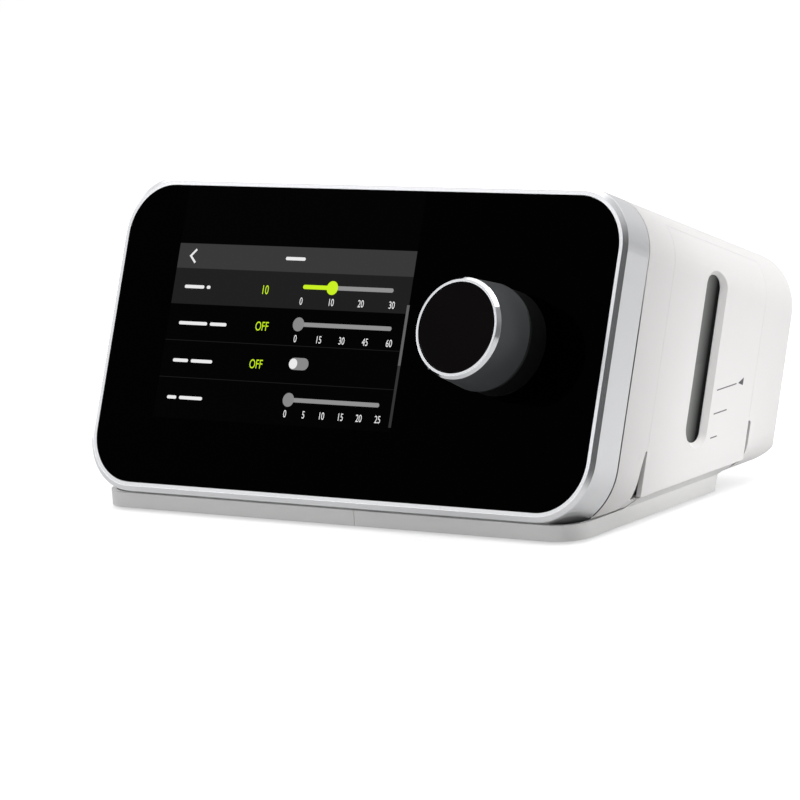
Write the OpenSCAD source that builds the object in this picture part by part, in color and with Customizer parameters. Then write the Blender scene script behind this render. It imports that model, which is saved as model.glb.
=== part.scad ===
// Home breathing-pressure machine with a built-in heated humidifier.
// The front face leans back; the case is a box square to that face, cut level underneath.
// Face frame: x across, y = depth behind the front face, z = up along the face, origin at its centre.
// Level frame: x across, y to the rear, z up from the table.

/* [Body] */
// Width of the body
body_w = 278; // [274:1:286]
// Height of the body along its front face
body_h = 144; // [142:1:150]
// Depth of the body square to its front face
body_d = 136; // [134:1:142]
// Corner radius of the body seen from the front
body_r = 27; // [25:0.5:30]
// Angle that the front face leans back, in degrees
lean = 22; // [21:0.5:23]
// Wall thickness of the white mouldings
wall = 2.5; // [2.2:0.1:2.8]
// Radius of the rear edges of the housing
rear_r = 6; // [4:0.5:9]
// Radius along the lower side edges of the housing
belly_r = 12; // [9:0.5:13]
// Radius between the rear face and the underside
tail_r = 18; // [14:0.5:20]

/* [Front frame] */
// Depth of the silver frame behind the front face
frame_d = 17.1; // [16.5:0.1:18]
// Width of the silver frame seen from the front
frame_lip = 3.8; // [3.5:0.1:4.5]
// Width of the frame's outer bevel seen from the front
bevel_w = 2.1; // [1.6:0.1:2.5]
// Depth behind the glass at which the frame's bevel ends
bevel_d = 1.2; // [1:0.1:1.6]
// How far the frame's ridge stands out from the glass
ridge = 0.1; // [0.1:0.1:0.5]
// Width of the groove between the frame and the housing
seam_w = 0.6; // [0.3:0.1:0.8]
// Thickness of the front glass
glass_t = 2; // [1.6:0.1:2.4]
// Clearance round the glass
glass_gap = 0.2; // [0.1:0.05:0.3]
// Width of the shelf that the glass is bonded to
shelf_w = 4; // [3:0.5:5]

/* [Screen] */
// Width of the picture area
screen_w = 136; // [130:1:140]
// Height of the picture area
screen_h = 80; // [76:1:84]
// Distance from the side of the body to the picture area
screen_inset = 35; // [32:1:37]
// Centre of the picture area up the face
screen_v = 2.5; // [0:0.5:4]
// Thickness of the display module
lcd_t = 5; // [4:0.5:5.5]

/* [Knob] */
// Distance from the side of the body to the knob's axis
knob_inset = 56.9; // [54:0.1:58]
// Centre of the knob up the face
knob_v = 3.2; // [0:0.1:5]
// Radius of the grip at its front end
knob_r = 21.9; // [21.5:0.1:23]
// How much wider the grip is at its rear end
grip_flare = 1.6; // [1:0.1:2]
// Radius of the black disc in the knob's face
disc_r = 19.7; // [18.5:0.1:20]
// Height of the knob's face over the glass
knob_h = 33; // [31:0.5:35]
// Height of the fixed collar over the glass
collar_h = 11.7; // [11:0.1:12.5]
// Radius of the collar where it meets the glass
collar_r = 23.1; // [22:0.1:23.4]
// Height of the chrome ring, with its sloped edge
ring_h = 2; // [1.9:0.1:2.4]
// Travel of the knob when it is pressed
press = 0.5; // [0.3:0.1:0.6]
// Radius of the encoder shaft
shaft_r = 3; // [2.8:0.1:3.2]
// Radial running clearance of shafts
run_gap = 0.05; // [0.03:0.01:0.08]

/* [Base] */
// Height of the base plates
slab_h = 6.9; // [6.5:0.1:7.5]
// How far the base plates stand in from the sides of the body
slab_inset = 8; // [7:0.5:9]
// Corner radius of the base plates seen from above
slab_r = 14; // [12:0.5:16]
// Place of the joint between the two base plates
split_x = 15; // [13:0.5:16]
// How far the rubber feet stand below the base plates
foot_h = 1.2; // [1:0.1:1.5]
// Radius of the rubber feet
foot_r = 7; // [6:0.5:8]
// Height of the frame's lowest corner over the base plates
front_lift = 1.7; // [1.4:0.1:2]

/* [Humidifier] */
// Depth at which the tank bay starts
bay_p0 = 37; // [36:0.5:38]
// Distance from the tank bay to the rear face
bay_rear = 26; // [25:0.5:27]
// Place of the bay's inner wall across the body
bay_x = 20; // [19:0.5:21]
// Height of the tank's rim over the table
rim_z = 60; // [58:0.5:61]
// Wall thickness of the tank
tank_wall = 2; // [1.8:0.1:2.4]
// Thickness of the bay's liner
liner = 1.8; // [1.6:0.1:2]
// Clearance round the tank in its bay
tank_gap = 0.6; // [0.4:0.1:0.8]
// Gap round the tank's side cover
cover_gap = 0.08; // [0.05:0.01:0.2]
// Centre of the window slot, in depth
slot_p = 71.1; // [70:0.1:73]
// Distance from the slot's upper end to the cover's upper edge
slot_top_gap = 11.6; // [10.6:0.2:12.6]
// Width of the window slot at the surface
slot_w = 16.3; // [15.5:0.1:17]
// Distance from the slot's lower end to the cover's lower edge
slot_low_gap = 13.7; // [12.7:0.2:15.1]
// Width of the slope round the window
slot_bevel = 2.4; // [2:0.1:2.8]
// Depth of the window below the surface
slot_d = 2.3; // [2:0.1:2.6]
// Width of the front finger slit at its lower end
slit_w = 4.5; // [3.5:0.1:5]
// Depth at which the release tab starts
tab_p0 = 56.5; // [54:0.5:58]
// Length of the release tab, front to rear
tab_l = 44; // [41:1:46]
// Radius of the tank's two air ports
port_r = 8; // [7:0.5:8.5]
// Width of the heater plate
heater_w = 64; // [58:1:66]
// Distance between the heater plate and the ends of the tank
heater_margin = 13.8; // [12:0.2:16]

/* [Air path] */
// Outer radius of the hose port
hose_r = 11; // [10.8:0.1:11.2]
// Length of the hose port behind the rear face
hose_len = 22; // [18:1:24]
// Gap between the impeller and the wall of its scroll
impeller_gap = 4; // [3:0.5:5]
// Space between the scroll and the wall of its box
scroll_gap = 6; // [5:0.5:7]
// Width of the air filter
filter_w = 55; // [50:1:56]
// Height of the air filter
filter_h = 35; // [32:1:36]

/* [Hidden] */
$fn = 72;
eps = 0.01;

s = sin(lean);
c = cos(lean);
hw = body_w / 2;
hh = body_h / 2;
base_top = foot_h + slab_h;
panel_z = base_top + front_lift + hh * c;

// Level coordinates, behind the face centre, of a point given in the face frame
function y_of(p, v) = p * c + v * s;
function z_of(p, v) = panel_z + v * c - p * s;
function p_of(y, z) = y * c - (z - panel_z) * s;
function v_of(y, z) = y * s + (z - panel_z) * c;
// Height along the face of a level plane, at a depth, and its place in y at a depth
function v_at(z, p) = (z - panel_z + p * s) / c;
function y_at(z, p) = (p + (z - panel_z) * s) / c;

// The origin lies under the middle of the whole part, from the knob's lower edge to the hose port
tank_v = hh - body_r;
hose_v = tank_v - 16.5;
ring_slope = 1.76;
ring_flat = 1.05;
front_y = y_of(-knob_h, knob_v - disc_r - ring_flat);
back_y = y_of(body_d + hose_len, hose_v + hose_r);
origin_y = -(front_y + back_y) / 2;

glass_w = body_w - 2 * frame_lip;
glass_h = body_h - 2 * frame_lip;
glass_r = body_r - frame_lip;
crest_w = 0.2;
knob_x = hw - knob_inset;
screen_x = screen_inset + screen_w / 2 - hw;
lcd_w = screen_w + 14;
lcd_h = screen_h + 14;
bracket_p = glass_t + 3;
bracket_back = glass_t + lcd_t + 1.5;
board_p = bracket_back + 5.5;
board_t = 1.6;
board_x0 = 14 - hw;
board_x1 = knob_x - 22;
board_v0 = 20 - hh;
board_v1 = hh - 14;
component_t = 6;
board_spots = [for (x = [board_x0 + 7, board_x1 - 8]) for (v = [board_v0 + 7, board_v1 - 8]) [x, v]];
bracket_x = hw - 13;
bracket_v = hh - 14;
bracket_spots = [
    [-bracket_x, -bracket_v], [-bracket_x, bracket_v], [bracket_x, -bracket_v], [bracket_x, bracket_v], [0, hh - 10]
];

grip_top = knob_h - ring_h;
grip_r = knob_r + grip_flare;
grip_end = collar_h + press + 0.3;
bush_r = 4.5;
encoder_w = 14;
encoder_back = bracket_back + 8;
rotor_p = bracket_back + 1.6;

bay_p1 = body_d - bay_rear;
slab_x = hw - slab_inset;
slab_y0 = -24.6;
slab_end = bay_p1 - 6;
floor_t = 2.4;
screw_r = 1.5;
foot_y = y_at(foot_h, slab_end) - 11.7;
base_spots = [[7 - slab_x, 4], [7 - slab_x, foot_y - 2], [slab_x - 9, 2], [split_x - 9, 2]];
foot_x = slab_x - 27;
foot_spots = [[-foot_x, -8], [-foot_x, foot_y], [foot_x, -8], [foot_x, foot_y]];

tank_p0 = bay_p0 + 0.4 + liner + tank_gap;
tank_p1 = bay_p1 - 0.4 - liner - tank_gap;
tank_x0 = bay_x + liner + 1.8;
tank_x1 = hw - 6;
tank_z = base_top + 4.9;
liner_v = tank_v + tank_gap + liner;
liner_z = base_top + 2.6;
tab_v = hh - 5;
tab_p1 = tab_p0 + tab_l;
tab_travel = 2;
tab_w = 39;
cover_v = hh - 8.2;
slit_v = 37.7 - hh;
slot_low = v_at(tank_z, slot_p) + slot_low_gap;
slot_len = cover_v - slot_top_gap - slot_low;
slot_v = slot_low + slot_len / 2;

duct_z = rim_z + 12;
out_p = bay_p1 - 22;
elbow_r = 16;
out_x = bay_x - 2 - elbow_r;

case_x0 = 23 - hw;
case_x1 = bay_x - 36;
case_z0 = base_top + wall + 0.2;
lid_z = duct_z + 6;
case_z1 = lid_z + 10;
case_t = 2;
case_y0 = y_at(case_z1, board_p + board_t + component_t + 3.8);
case_y1 = y_at(case_z0, body_d - tail_r) + 6;
scroll_h = 20;
scroll_t = 2;
scroll_r = (case_y1 - case_y0) / 2 - case_t - scroll_gap;
impeller_r = scroll_r - scroll_t - impeller_gap;
blower_x = (case_x0 + case_x1) / 2 - 2;
blower_y = (case_y0 + case_y1) / 2 + 3;
duct_y = blower_y - scroll_r + 10;
motor_r = 17;
motor_h = 22;
mount_h = 8;
mount_spots = [[-1, -1], [1, -1], [-1, 1], [1, 1]];
mount_r = scroll_r + 7.9;
mount_off = mount_r / sqrt(2);

rear_x0 = 11 - hw;
rear_x1 = out_x + 39;
rear_v0 = v_at(base_top, body_d - tail_r) + tail_r / c + 5;
rear_v1 = hh - 14;
filter_x = rear_x0 + 38;
filter_v = rear_v1 - 22;
power_x = out_x + 26;
power_v = rear_v0 + 10;
power_r = 6;
card_p = 23;
card_v = 0;

module face() { translate([0, origin_y, panel_z]) rotate([-lean, 0, 0]) children(); }
module level() { translate([0, origin_y, 0]) children(); }

// Extrusions: in depth from an (x, v) shape, across from a (p, v) or (y, z) shape, upward from an (x, p) shape
module along_p(p0, p1) { translate([0, p1, 0]) rotate([90, 0, 0]) linear_extrude(p1 - p0) children(); }
module along_x(x0, x1) { translate([x0, 0, 0]) rotate([90, 0, 90]) linear_extrude(x1 - x0) children(); }
module along_z(z0, z1) { translate([0, 0, z0]) linear_extrude(z1 - z0) children(); }
module rod_p(r, p0, p1) { translate([0, p0, 0]) rotate([-90, 0, 0]) cylinder(r = r, h = p1 - p0); }
module rod_x(r, x0, x1) { translate([x0, 0, 0]) rotate([0, 90, 0]) cylinder(r = r, h = x1 - x0); }
module rod_z(r, z0, z1) { translate([0, 0, z0]) cylinder(r = r, h = z1 - z0); }
module block(x0, x1, y0, y1, z0, z1) { translate([x0, y0, z0]) cube([x1 - x0, y1 - y0, z1 - z0]); }
module tube_p(r, inner, p0, p1) {
    difference() {
        rod_p(r, p0, p1);
        rod_p(inner, p0 - 1, p1 + 1);
    }
}
module tube_x(r, inner, x0, x1) {
    difference() {
        rod_x(r, x0, x1);
        rod_x(inner, x0 - 1, x1 + 1);
    }
}
module tube_z(r, inner, z0, z1) {
    difference() {
        rod_z(r, z0, z1);
        rod_z(inner, z0 - 1, z1 + 1);
    }
}

module rounded_rect(w, h, r) {
    square([w - 2 * r, h], center = true);
    square([w, h - 2 * r], center = true);
    for (sx = [-1, 1])
        for (sy = [-1, 1])
            translate([sx * (w / 2 - r), sy * (h / 2 - r)]) circle(r);
}

// Everything under a level height, as a solid to cut away
module below(z) { level() block(-300, 300, -200, 300, -100, z); }

// Outer form of the case behind the frame, square to the face, with rounded rear edges
module body_block(inset) {
    w = body_w - 2 * inset;
    h = body_h - 2 * inset;
    r = body_r - inset;
    f = rear_r - inset;
    p1 = body_d - inset;
    along_p(frame_d, p1 - f) rounded_rect(w, h, r);
    along_p(p1 - f, p1) rounded_rect(w - 2 * f, h - 2 * f, r - f);
    for (sx = [-1, 1])
        for (sv = [-1, 1])
            translate([sx * (w / 2 - r), p1 - f, sv * (h / 2 - r)]) rotate([-90, 0, 0])
                rotate_extrude() intersection() {
                    translate([r - f, 0]) circle(f);
                    translate([r - f, 0]) square(f);
                }
    for (sv = [-1, 1])
        translate([0, p1 - f, sv * (h / 2 - f)]) rod_x(f, r - w / 2, w / 2 - r);
    for (sx = [-1, 1])
        translate([sx * (w / 2 - f), p1 - f, 0]) rod_z(f, r - h / 2, h / 2 - r);
}

// What the level underside and its rounded edges take off the case
module under_cut(inset) {
    below(base_top + inset);
    r = belly_r - inset;
    level() for (sx = [-1, 1])
        translate([sx * (hw - belly_r), 200, base_top + belly_r]) rotate([90, 0, 0])
            linear_extrude(300) difference() {
                translate([sx > 0 ? 0 : -belly_r - 2, -belly_r - 2]) square(belly_r + 2);
                circle(r);
            }
    pc = body_d - tail_r;
    vc = v_at(base_top, pc) + tail_r / c;
    rt = tail_r - inset;
    face() along_x(-hw - 1, hw + 1) difference() {
        polygon([
            [pc, vc], [body_d + 5, vc], [body_d + 5, vc - 60],
            [pc + tail_r * s - 40 * c, vc - tail_r * c - 40 * s - 5],
            [pc + tail_r * s, vc - tail_r * c]
        ]);
        translate([pc, vc]) circle(rt);
    }
}

// Region of the tank bay in the right side, for the housing, the cover or the liner
module bay_profile(gap, top) {
    polygon([
        [bay_p0 + gap, v_at(base_top, bay_p0)], [bay_p0 + gap, top], [bay_p1 - gap, top],
        [bay_p1 - gap, v_at(base_top + wall, bay_p1)], [slab_end + 0.2, v_at(base_top + wall, slab_end)],
        [slab_end + 0.2, v_at(base_top - 2, slab_end)], [bay_p0 + gap, v_at(base_top - 2, bay_p0)]
    ]);
}

// Slot with round ends, along the face, flaring from its floor to the surface
module slot_flare(x_floor, x_top, r_floor, r_top) {
    half = (slot_len - slot_w) / 2;
    translate([x_floor, slot_p, slot_v]) {
        for (e = [-1, 1])
            translate([0, 0, e * half]) rotate([0, 90, 0])
                cylinder(r1 = r_floor, r2 = r_top, h = x_top - x_floor);
        translate([0, 0, -half]) linear_extrude(2 * half)
            polygon([[0, -r_floor], [0, r_floor], [x_top - x_floor, r_top], [x_top - x_floor, -r_top]]);
    }
}

module front_glass() {
    color("#050506") face() difference() {
        along_p(0, glass_t) rounded_rect(glass_w - 2 * glass_gap, glass_h - 2 * glass_gap, glass_r - glass_gap);
        translate([knob_x, 0, knob_v]) rod_p(bush_r + 0.3, -1, glass_t + 1);
    }
}

// Plates and corner cones between two outlines of the body, each set in by its own amount
module tapered(p0, p1, inset0, inset1) {
    px = hw - body_r;
    pv = hh - body_r;
    for (sx = [-1, 1])
        for (sv = [-1, 1])
            translate([sx * px, p0, sv * pv]) rotate([-90, 0, 0])
                cylinder(r1 = body_r - inset0, r2 = body_r - inset1, h = p1 - p0);
    along_x(-px, px) polygon([[p0, inset0 - hh], [p0, hh - inset0], [p1, hh - inset1], [p1, inset1 - hh]]);
    along_z(-pv, pv) polygon([[inset0 - hw, p0], [hw - inset0, p0], [hw - inset1, p1], [inset1 - hw, p1]]);
}

// Frame block: its bevel rises to a ridge, and a lip slopes down from the ridge to the glass
module frame_outer() {
    slope = (frame_lip - bevel_w - crest_w) / ridge;
    difference() {
        union() {
            along_p(bevel_d, frame_d) rounded_rect(body_w, body_h, body_r);
            tapered(-ridge, bevel_d, bevel_w, 0);
        }
        tapered(-ridge - 0.2, 0.1, frame_lip - slope * (ridge + 0.2), frame_lip + slope * 0.1);
    }
}

module front_frame() {
    color("#c9ccd0") difference() {
        face() difference() {
            frame_outer();
            along_p(-1, glass_t) rounded_rect(glass_w, glass_h, glass_r);
            along_p(-1, bracket_p) rounded_rect(glass_w - 2 * shelf_w, glass_h - 2 * shelf_w, glass_r - shelf_w);
            along_p(bracket_p, frame_d + 1)
                rounded_rect(body_w - 2 * wall, body_h - 2 * wall, body_r - wall);
        }
        below(base_top);
    }
}

module lcd_panel() {
    color("#15181c") face() translate([screen_x, 0, screen_v])
        block(-lcd_w / 2, lcd_w / 2, glass_t, glass_t + lcd_t, -lcd_h / 2, lcd_h / 2);
}

// Tray behind the glass: its rim stands on the frame's shelf and it carries the display, encoder and board
module display_bracket() {
    w = body_w - 2 * wall - 0.6;
    h = body_h - 2 * wall - 0.6;
    r = body_r - wall - 0.3;
    color("#3a3d40") difference() {
        face() difference() {
            union() {
                along_p(bracket_p, bracket_back) rounded_rect(w, h, r);
                for (q = board_spots)
                    translate([q[0], 0, q[1]]) rod_p(3.5, bracket_back, board_p);
            }
            along_p(bracket_p - 1, bracket_back - 1.5) rounded_rect(w - 16, h - 16, r - 8);
            translate([knob_x, 0, knob_v]) rod_p(bush_r + 0.3, 0, bracket_back + 1);
            for (q = board_spots)
                translate([q[0], 0, q[1]]) rod_p(screw_r + run_gap, bracket_back, board_p + 1);
            for (q = bracket_spots)
                translate([q[0], 0, q[1]]) rod_p(screw_r + run_gap, bracket_p - 1, bracket_back + 1);
            translate([screen_x, 0, screen_v]) block(-13, 13, bracket_p, bracket_back + 1, -34, -30);
        }
        below(base_top + 0.5);
    }
}

module screw_p(p_tip, p_head) {
    rod_p(screw_r, p_tip, p_head);
    difference() {
        rod_p(2 * screw_r, p_head, p_head + 1.6);
        translate([0, p_head + 0.8, 0]) rotate([-90, 0, 0]) cylinder(r = 1.2, h = 2, $fn = 6);
    }
}

module bracket_screws() {
    color("silver") face() for (q = bracket_spots)
        translate([q[0], 0, q[1]]) screw_p(bracket_p + 0.1, bracket_back);
}

module display_cable() {
    color("#c98a35") face() translate([screen_x, 0, screen_v])
        block(-10, 10, glass_t + lcd_t, board_p, -32.4, -31.8);
}

module main_board() {
    color("#1d5a36") face() difference() {
        block(board_x0, board_x1, board_p, board_p + board_t, board_v0, board_v1);
        for (q = board_spots)
            translate([q[0], 0, q[1]]) rod_p(screw_r + run_gap, board_p - 1, board_p + board_t + 1);
    }
}

module board_components() {
    p = board_p + board_t;
    color("#202124") face() {
        // processor, memory, relay, two connectors, capacitors and a finned regulator
        chip(board_x1 - 83, 6, 18, 1.4);
        chip(board_x1 - 122, 8, 12, 1.2);
        chip(board_x1 - 57, board_v0 + 21, 12, component_t - 1);
        chip(board_x1 - 36, board_v0 + 10, 10, component_t - 0.5);
        chip(board_x0 + 35, board_v0 + 10, 10, component_t - 0.5);
        for (k = [0:3])
            translate([board_x1 - 48 + 10 * k, 0, board_v1 - 22]) rod_p(3.6, p, p + component_t);
        translate([board_x1 - 114, 0, board_v1 - 20]) {
            block(-9, 9, p, p + 1, -8, 8);
            for (k = [0:5]) block(3 * k - 8.2, 3 * k - 7, p + 0.9, p + component_t, -8, 8);
        }
    }
}

module chip(x, v, w, t) {
    p = board_p + board_t;
    block(x - w / 2, x + w / 2, p, p + t, v - w / 2, v + w / 2);
}

module board_screws() {
    color("silver") face() for (q = board_spots)
        translate([q[0], 0, q[1]]) screw_p(bracket_back + 0.6, board_p + board_t);
}

module speaker() {
    p = board_p + board_t;
    color("#2b2b2d") face() translate([board_x1 - 92, 0, board_v0 + 17]) {
        difference() {
            rod_p(12, p, p + 5);
            rod_p(9, p + 3.5, p + 6);
        }
        rod_p(4, p + 3.5, p + 4.5);
    }
}

// Fixed collar on the glass
module knob_collar() {
    color("#111214") face() translate([knob_x, 0, knob_v]) rotate([90, 0, 0])
        rotate_extrude() polygon([
            [bush_r + 0.1, 0], [collar_r, 0], [grip_r - 0.6, collar_h - 1], [grip_r - 1.2, collar_h],
            [grip_r - 4, collar_h], [grip_r - 5, 3], [bush_r + 0.1, 3]
        ]);
}

module knob_grip() {
    hub = shaft_r + 3.5;
    color("#4a4d50") face() translate([knob_x, 0, knob_v]) rotate([90, 0, 0]) {
        rotate_extrude() polygon([
            [shaft_r + run_gap, grip_end + 1], [hub, grip_end + 1], [hub, grip_top - 3], [knob_r - 3, grip_top - 3],
            [knob_r - 3, grip_end], [grip_r - 0.4, grip_end], [grip_r, grip_end + 0.4], [knob_r, grip_top - 0.1],
            [disc_r - 1, grip_top - 0.1], [disc_r - 1, knob_h - 1.6], [0, knob_h - 1.6], [0, grip_top - 3],
            [shaft_r + run_gap, grip_top - 3]
        ]);
    }
}

module knob_ring() {
    color("#e3e5e8") face() translate([knob_x, 0, knob_v]) rotate([90, 0, 0])
        rotate_extrude() polygon([
            [disc_r - 0.9, grip_top - 0.1], [knob_r, grip_top - 0.1], [knob_r, knob_h - ring_slope],
            [disc_r + ring_flat, knob_h], [disc_r, knob_h], [disc_r, knob_h - 1.6], [disc_r - 0.9, knob_h - 1.6]
        ]);
}

module knob_cap() {
    color("#060607") face() translate([knob_x, 0, knob_v]) rotate([90, 0, 0])
        rotate_extrude() polygon([
            [0, knob_h - 1.6], [disc_r - 0.1, knob_h - 1.6], [disc_r - 0.1, knob_h - 0.5],
            [disc_r - 0.6, knob_h - 0.3], [0, knob_h - 0.3]
        ]);
}

module encoder_shaft() {
    color("#8d9094") face() translate([knob_x, 0, knob_v])
        rod_p(shaft_r, -grip_top + 3.2, encoder_back - 2.6 - press);
}

module encoder_rotor() {
    color("#d8d3c4") face() translate([knob_x, 0, knob_v]) {
        tube_p(5.2, shaft_r + run_gap, rotor_p, rotor_p + 1.6);
        for (k = [0:7])
            rotate([0, 45 * k, 0]) translate([5, 0, 0]) rod_p(0.6, rotor_p, rotor_p + 1.6);
    }
}

module encoder_body() {
    e = encoder_w / 2;
    color("#25282b") face() translate([knob_x, 0, knob_v]) difference() {
        union() {
            block(-e, e, bracket_back, encoder_back, -e, e);
            rod_p(bush_r, -6.5, bracket_back + 0.5);
        }
        rod_p(shaft_r + run_gap, -8, rotor_p);
        rod_p(5.9, rotor_p - 0.06, encoder_back - 2);
        rod_p(2.6, encoder_back - 3, encoder_back - 1);
    }
}

module encoder_nut() {
    color("#b9a066") face() translate([knob_x, 0, knob_v]) difference() {
        rotate([90, 0, 0]) translate([0, 0, 3]) cylinder(r = 6.6, h = 2.2, $fn = 6);
        rod_p(bush_r + run_gap, -8, 0);
    }
}

module switch_dome() {
    color("#c4c8cc") face() translate([knob_x, 0, knob_v])
        rod_p(2.5, encoder_back - 2.5, encoder_back - 1);
}

// Small ear inside the housing over a base screw
module ear(q) {
    side = q[0] > 0 ? 1 : -1;
    level() translate([0, q[1], 0]) {
        translate([q[0], 0, 0]) rod_z(4.5, base_top, base_top + 10);
        block(min(q[0], side * (hw - 1)), max(q[0], side * (hw - 1)), -2, 2, base_top, base_top + 10);
    }
}

module housing() {
    color("#f1f0ee") difference() {
        union() {
            difference() {
                difference() {
                    face() body_block(0);
                    under_cut(0);
                }
                difference() {
                    face() union() {
                        body_block(wall);
                        along_p(frame_d - 1, frame_d + 2)
                            rounded_rect(body_w - 2 * wall, body_h - 2 * wall, body_r - wall);
                    }
                    under_cut(wall);
                }
            }
            intersection() {
                union() for (k = [0:2]) ear(base_spots[k]);
                difference() {
                    face() body_block(wall / 2);
                    under_cut(0);
                }
            }
        }
        // groove that shows as the dark seam behind the frame
        face() along_p(frame_d - 1, frame_d + seam_w) difference() {
            rounded_rect(body_w + 2, body_h + 2, body_r + 1);
            rounded_rect(body_w - 2, body_h - 2, body_r - 1);
        }
        // the floor is open over the base plates
        base_well(slab_inset + 3.5);
        // opening for the tank and its cover, with the finger slits along its lower edges
        face() along_x(slab_x - 3.6, hw + 5) bay_profile(0, cover_v + cover_gap);
        face() along_x(hw - 9, hw + 5) flared_slit(slit_v);
        face() along_x(hw - 9, hw + 5) slit(bay_p1 + 0.7, v_at(base_top + wall, bay_p1) + 1.5, slit_v + 26.8);
        // opening for the release tab
        face() tab_region(0.15, tab_travel + 0.4, 0);
        // rear opening with its seat for the rear panel
        face() along_p(body_d - wall - 1, body_d + 1) rear_outline(0);
        face() along_p(body_d - wall - 0.5, body_d - 1.5) rear_outline(3);
        for (q = base_spots)
            level() translate([q[0], q[1], 0]) rod_z(screw_r + run_gap, base_top - 1, base_top + 7);
        // mouth for the memory card in the left side
        face() block(-hw - 1, -hw + 8, card_p - 1.6, card_p + 1.6, card_v - 12.8, card_v + 12.8);
    }
}

// Front slit: it widens downward beside the cover and ends level with the cover's lower edge
module flared_slit(v1) {
    translate([bay_p0 - 0.6, v1]) circle(0.6);
    polygon([
        [bay_p0 + eps, v1], [bay_p0 - 1.2, v1], [bay_p0 - slit_w * 0.7, v1 - 9],
        [bay_p0 - slit_w, v_at(tank_z, bay_p0 - slit_w)], [bay_p0 + eps, v_at(tank_z, bay_p0)]
    ]);
}

module slit(p, v0, v1) {
    translate([p, v0]) translate([-1.1, 0]) square([2.2, v1 - v0]);
    translate([p, v1]) circle(1.1);
}

module rear_outline(extra) {
    translate([(rear_x0 + rear_x1) / 2, (rear_v0 + rear_v1) / 2])
        rounded_rect(rear_x1 - rear_x0 + 2 * extra, rear_v1 - rear_v0 + 2 * extra, 6);
}

// Region of the release tab, on the upper right edge
module tab_region(side, inner, lower) {
    block(hw - tab_w - inner, hw + 5, tab_p0 - side, tab_p1 + side, tab_v - lower, hh + 5);
}

// Space over the base plates, set in from the sides by an amount
module base_well(inset) {
    difference() {
        level() along_z(foot_h - 1, base_top + wall + 1)
            base_plan(inset, -slab_x, slab_x);
        face() block(-300, 300, slab_end - 2.5, 300, -300, 300);
    }
}

// Plan of the base plates between two places across, with rounded front corners
module base_plan(inset, x0, x1) {
    x = hw - inset;
    y0 = slab_y0 + inset - slab_inset;
    r = slab_r - (inset - slab_inset);
    intersection() {
        union() {
            translate([r - x, y0]) square([2 * (x - r), r + 1]);
            translate([-x, y0 + r]) square([2 * x, 140]);
            for (sx = [-1, 1]) translate([sx * (x - r), y0 + r]) circle(r);
        }
        translate([x0, y0 - 5]) square([x1 - x0, 200]);
    }
}

module base_shell(x0, x1) {
    difference() {
        level() along_z(foot_h, base_top) base_plan(slab_inset, x0, x1);
        level() along_z(foot_h + floor_t, base_top + 1)
            base_plan(slab_inset + wall, x0 + (x0 > -slab_x ? wall : 0), x1 - (x1 < slab_x ? wall : 0));
        face() block(-300, 300, slab_end, 300, -300, 300);
    }
    // rear wall, square to the slope
    intersection() {
        level() along_z(foot_h, base_top) base_plan(slab_inset, x0, x1);
        face() block(-300, 300, slab_end - wall, slab_end, -300, 300);
    }
}

module base_boss(q, top) {
    level() translate([q[0], q[1], 0]) rod_z(5, foot_h, top);
}

module base_hole(q) {
    level() translate([q[0], q[1], 0]) {
        rod_z(screw_r + run_gap, 0, base_top + 10);
        rod_z(3.3, 0, foot_h + 2.6);
    }
}

module foot_seat(q) {
    level() translate([q[0], q[1], 0]) rod_z(foot_r + run_gap, 0, foot_h + 0.8);
}

case_posts = [for (x = [case_x0 + 16, case_x1 - 14]) for (y = [case_y0 + 12, case_y1 - 32.7]) [x, y]];

module main_base() {
    color("#e6e5e2") difference() {
        union() {
            base_shell(-slab_x, split_x - 0.1);
            base_boss(base_spots[0], base_top);
            base_boss(base_spots[1], base_top);
            base_boss(base_spots[3], base_top);
            for (q = case_posts) level() translate([q[0], q[1], 0]) rod_z(4, foot_h, case_z0);
        }
        for (k = [0, 1, 3]) base_hole(base_spots[k]);
        for (k = [0, 1]) foot_seat(foot_spots[k]);
    }
}

// Right base plate, with the upstand that fills the lower edge of the bay
module humidifier_base() {
    color("#e6e5e2") difference() {
        union() {
            base_shell(split_x + 0.1, slab_x);
            base_boss(base_spots[2], base_top);
            intersection() {
                level() translate([0, 200, 0]) rotate([90, 0, 0]) linear_extrude(300)
                    polygon([
                        [slab_x - 3.4, base_top - eps], [slab_x, base_top - eps], [hw - 0.6, tank_z - 0.1],
                        [tank_x1 + 0.1, tank_z - 0.1], [tank_x1 + 0.1, liner_z - 0.02], [slab_x - 3.4, liner_z - 0.02]
                    ]);
                face() block(0, 300, bay_p0 + 0.1, slab_end, -300, 300);
            }
            for (q = rib_spots) level() block(q[0], q[0] + 3, q[1], q[1] + 12, foot_h, liner_z - 0.02);
            for (q = spring_spots) level() translate([q[0], q[1], 0]) rod_z(2, foot_h, foot_h + floor_t + 3);
        }
        base_hole(base_spots[2]);
        for (k = [2, 3]) foot_seat(foot_spots[k]);
    }
}

heater_x = (tank_x0 + tank_x1) / 2;
tank_y0 = y_at(tank_z, tank_p0);
tank_y1 = y_at(tank_z, tank_p1);
heater_y = (tank_y0 + tank_y1) / 2;
heater_l = tank_y1 - tank_y0 - 2 * heater_margin;
heater_gap = 0.05;
element_z = liner_z - heater_gap;
heater_top = tank_z - heater_gap;
element_t = 1.5;
spring_spots = [for (sx = [-1, 1]) for (sy = [-1, 1]) [heater_x + sx * 22, heater_y + sy * 14]];
rib_spots = [for (x = [bay_x + 10, slab_x - 9]) for (y = [tank_y0 + 8.3, tank_y1 - 24.3]) [x, y]];

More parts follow.
